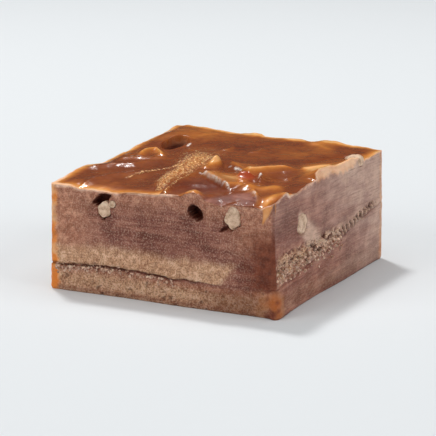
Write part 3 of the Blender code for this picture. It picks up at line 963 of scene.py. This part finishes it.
class Finish:
    """A material in the making."""

    def __init__(self, name):
        self.material = bpy.data.materials.new(name)
        self.material.use_nodes = True
        self.tree = self.material.node_tree
        self.shader = self.tree.nodes["Principled BSDF"]

    def node(self, kind, settings, inputs, output=0):
        """A node of that kind, with its settings made first and then its sockets."""
        node = self.tree.nodes.new(f"ShaderNode{kind}")
        for name, value in settings.items():
            if name == "stops":
                set_stops(node.color_ramp, value)
            else:
                setattr(node, name, value)
        for name, value in inputs.items():
            plug(self.tree, node.inputs[name], value)
        return Value(self.tree, node.outputs[output])

    def place(self, scale=(1, 1, 1)):
        """The piece's own coordinates in millimetres, stretched by that much each way."""
        at = self.node("TexCoord", {}, {}, "Object")
        factors = tuple(s / MM for s in scale)
        return self.node("VectorMath", {"operation": "MULTIPLY"}, {0: at, 1: factors})

    def mask(self, name):
        return self.node("Attribute", {"attribute_name": name}, {}, "Fac")

    def noise(self, at, size, detail=2.0, roughness=0.5):
        """Noise from 0 to 1 that turns over about that many millimetres."""
        inputs = {"Vector": at, "Scale": 1 / size, "Detail": detail, "Roughness": roughness}
        return self.node("TexNoise", {}, inputs)

    def ramp(self, value, stops):
        return self.node("ValToRGB", {"stops": stops}, {"Fac": value})

    def between(self, value, low, high):
        """0 where the value is at low, 1 where it is at high, eased between them."""
        inputs = {"Value": value, "From Min": low, "From Max": high}
        return self.node("MapRange", {"interpolation_type": "SMOOTHSTEP"}, inputs)

    def blend(self, factor, first, second):
        """From the first colour to the second as the factor goes from 0 to 1."""
        inputs = {"Factor": factor, 6: first, 7: second}
        return self.node("Mix", {"data_type": "RGBA"}, inputs, 2)

    def set(self, **values):
        for name, value in values.items():
            plug(self.tree, self.shader.inputs[name.replace("_", " ")], value)

    def bump(self, height, distance):
        """Relief of that many millimetres for a height from 0 to 1."""
        normal = self.node("Bump", {}, {"Height": height, "Distance": distance * MM})
        plug(self.tree, self.shader.inputs["Normal"], normal)


def set_stops(ramp, stops):
    while len(ramp.elements) > 1:
        ramp.elements.remove(ramp.elements[-1])
    for i, (place, colour) in enumerate(stops):
        stop = ramp.elements[0] if i == 0 else ramp.elements.new(place)
        stop.position = place
        stop.color = (*colour, 1)


def fudge_noises(f):
    """The noises that the fudge's colours and its relief share."""
    at = f.place()
    on_cut = f.place((1.0, 0.35, 1.0))
    return SimpleNamespace(
        streaks=f.noise(f.place((0.06, 0.06, 1.0)), 1.3, 3.0, 0.6),
        scratches=f.noise(f.place((0.04, 0.04, 1.0)), 0.4, 2.0, 0.6),
        grit=f.noise(on_cut, 0.36, 2.0, 0.6),
        mottle=f.noise(on_cut, 1.5, 4.0, 0.65),
        cloud=f.noise(at, 6.0, 3.0, 0.55),
        sugar=f.noise(at, 0.42, 2.0, 0.6),
        skin=f.noise(at, 0.8, 3.0),
    )


def cut_colour(f, noises, masks):
    """Colour of the cut faces: mauve, tan and dried fudge, then the pale band and stains."""
    mottle, cloud, grit, scratches = noises.mottle, noises.cloud, noises.grit, noises.scratches
    dry, gritty, amber = masks.dry, masks.gritty, masks.amber
    tone = cloud + 0.8 * (noises.streaks - 0.5) + 0.6 * (scratches - 0.5) + 0.4 * (mottle - 0.5)
    cut = f.ramp(tone, MAUVE_STOPS)
    cut = f.blend((masks.tan * (0.6 + 0.8 * mottle)).clamped(), cut, f.ramp(mottle, TAN_STOPS))
    # The right face's painted sheen, and the nut's smear.
    sheen_tone = cloud * 0.6 + mottle * 0.3 + scratches * 0.3 - 0.1 + (dry - 0.6) * 0.3
    cut = f.blend((dry * 0.95).clamped(), cut, f.ramp(sheen_tone, SHEEN_STOPS))
    cut = f.blend(f.between(scratches, 0.38, 0.30) * dry * 0.4, cut, SPECK_DARK)
    cream = f.ramp(mottle + 0.6 * (grit - 0.5), BAND_STOPS)
    cream = f.blend(f.between(dry, 0, 0.4) * 0.6, cream, PALE_CRUMB)
    cut = f.blend((masks.pale * (0.75 + 0.5 * mottle)).clamped(), cut, cream)
    # Pale specks: the fudge's grains, with a painted glint on them.
    cut = f.blend(f.between(grit, 0.53, 0.60) * gritty * 0.85, cut, SPECK_LIGHT)
    cut = f.blend(f.between(grit, 0.46, 0.38) * gritty * 0.65, cut, SPECK_DARK)
    cut = f.blend(masks.red * 0.85, cut, f.ramp(mottle, RED_STOPS))
    # Amber of the drip, the foot and the burr, and the painted glow of the upright edges.
    edge_tone = cloud + 0.3 * mottle - 0.15 - 0.18 * f.between(amber, 0.84, 1)
    return f.blend((amber * 1.15).clamped(), cut, f.ramp(edge_tone, AMBER_AND_EDGE_GLOW_STOPS))


def poured_colour(f, noises, masks):
    """Colour of the glossy top: brown to amber skin, the red lump, painted white highlights on the crests,
    and sugar.
    """
    depth = 0.23 + 0.8 * masks.amber + 0.6 * (noises.cloud - 0.5) + 0.2 * (noises.mottle - 0.5)
    poured = f.ramp(depth, SKIN_STOPS)
    # The red mask brings the red lump's colour, and over the facet a red painted shade.
    poured = f.blend(masks.red.clamped() * 0.9, poured, LUMP_RED)
    # Painted white highlights along the crests.
    poured = f.blend(masks.frost * f.between(noises.sugar, 0.35, 0.45), poured, PAINTED_GLINT)
    # Sugar grains, with painted sparkle and painted shade between them.
    grains = f.between(noises.sugar + masks.sugar * 0.2, 0.64, 0.73)
    return f.blend(grains * f.between(masks.sugar, 0, 0.2), poured, f.ramp(noises.sugar, SUGAR_STOPS))


def fudge_finish():
    """Fudge: waxy and dragged where the knife cut it, a glossy amber skin on its top."""
    f = Finish("layered fudge")
    noises = fudge_noises(f)
    masks = SimpleNamespace(**{name: f.mask(name) for name in MASKS})
    mottle, skin, sugar = noises.mottle, masks.skin, masks.sugar

    colour = f.blend(skin, cut_colour(f, noises, masks), poured_colour(f, noises, masks))
    peach = f.blend(masks.amber.clamped(), f.ramp(mottle, BURR_STOPS), PEACH)
    colour = f.blend((masks.burr * (0.5 + 0.8 * mottle)).clamped(), colour, peach)
    # Painted shade over the hollows, cracks, slots, the bubble pit and the facet.
    colour = f.blend(masks.deep, colour, PAINTED_SHADE)
    f.set(Base_Color=colour, Roughness=0.6 - skin * 0.34 + sugar * 0.1, Coat_Weight=skin * 0.4)
    f.set(Coat_Roughness=0.08, Subsurface_Weight=0.12, Subsurface_Scale=0.0009)
    f.set(Subsurface_Radius=(1.0, 0.4, 0.18), IOR=1.42, Specular_IOR_Level=0.4)
    cut_relief = (0.8 * noises.streaks + 1.0 * noises.scratches) * (1 - 0.5 * masks.dry)
    cut_relief = cut_relief + noises.grit * (0.5 + 2.6 * masks.gritty)
    skin_relief = 0.25 * noises.skin + 1.6 * sugar * noises.sugar
    f.bump(cut_relief * (1 - skin) + skin_relief * skin, 0.25)
    return f.material


def crumb_finish():
    """Dry crumbs, a little darker here and there."""
    f = Finish("pale crumbs")
    colour = f.ramp(f.noise(f.place(), 0.9, 2.0), CRUMB_STOPS)
    f.set(Base_Color=colour, Roughness=0.55, Subsurface_Weight=0.1, Subsurface_Scale=0.0005)
    return f.material


def walnut_finish():
    """Cut walnut: cream and matt, with traces of its brown skin."""
    f = Finish("cut walnut")
    at = f.place()
    speckle = f.noise(at, 0.3, 3.0, 0.6)
    cloud = f.noise(at, 1.4, 2.0)
    colour = f.ramp(cloud + 0.5 * (speckle - 0.5), WALNUT_STOPS)
    f.set(Base_Color=colour, Roughness=0.6, Subsurface_Weight=0.15, Subsurface_Scale=0.001)
    f.set(Subsurface_Radius=(1.0, 0.6, 0.35))
    f.bump(speckle, 0.3)
    return f.material


def floor_finish():
    """A plain, matt floor."""
    f = Finish("pale floor")
    f.set(Base_Color=(0.73, 0.755, 0.77), Roughness=0.6, Specular_IOR_Level=0.0)
    return f.material


def add_floor():
    bm = bmesh.new()
    bmesh.ops.create_grid(bm, x_segments=1, y_segments=1, size=4)
    floor = add_piece(bm, "floor")
    floor.data.materials.append(floor_finish())


def add_lamp(name, place, target, size, power, mirrored=False):
    """A square soft lamp at a place, turned to a target, both in metres."""
    lamp = bpy.data.lights.new(name, "AREA")
    lamp.shape = "SQUARE"
    lamp.size = size
    lamp.energy = power
    holder = bpy.data.objects.new(name, lamp)
    holder.location = place
    holder.rotation_euler = look_along(np.array(target) - np.array(place))
    holder.visible_glossy = mirrored
    bpy.context.scene.collection.objects.link(holder)


def look_along(direction):
    """Turns that point an object's -Z along a direction, with its Y up."""
    x, y, z = direction
    return (math.atan2(math.hypot(x, y), -z), 0, math.atan2(-x, y))


def add_light():
    add_lamp("window", (-0.45, 0.36, 1.14), (0, 0, 0), 0.15, 7.5, mirrored=True)
    add_lamp("overhead fill", (0, 0, 1.6), (0, 0, 0), 2.0, 15.5)
    add_lamp("front fill", (-0.9, -1.6, 0.9), (0, 0, 0.02), 1.2, 14)
    add_lamp("right fill", (1.7, 0.1, 0.9), (0, 0, 0.02), 1.2, 13)
    world = bpy.data.worlds.new("studio")
    world.use_nodes = True
    background = world.node_tree.nodes["Background"]
    background.inputs["Color"].default_value = (0.9, 0.95, 1.0, 1)
    background.inputs["Strength"].default_value = 0.04
    bpy.context.scene.world = world


def add_camera():
    lens = bpy.data.cameras.new("camera")
    lens.lens = CAMERA_LENS
    lens.sensor_width = 36
    lens.clip_start = 0.01
    camera = bpy.data.objects.new("camera", lens)
    camera.location = CAMERA_PLACE
    camera.rotation_euler = (math.radians(90 - CAMERA_DOWN), 0, math.radians(CAMERA_TURN))
    bpy.context.scene.collection.objects.link(camera)
    bpy.context.scene.camera = camera


def main():
    bpy.context.scene.view_settings.view_transform = "Standard"
    add_camera()
    add_light()
    add_floor()
    fudge = fudge_finish()
    nut = walnut_finish()

    loose = crumbs()
    loose.data.materials.append(crumb_finish())
    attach(loose, "root")

    upper = upper_fudge()
    upper.data.materials.append(fudge)
    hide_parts("upper_layer", "pale_band")
    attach(upper, "root")

    base = base_fudge()
    base.data.materials.append(fudge)
    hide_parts("base_layer")
    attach(base, "root")

    for name in NUTS:
        piece = walnut(name)
        piece.data.materials.append(nut)
        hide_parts(name)
        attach(piece, "root")


main()
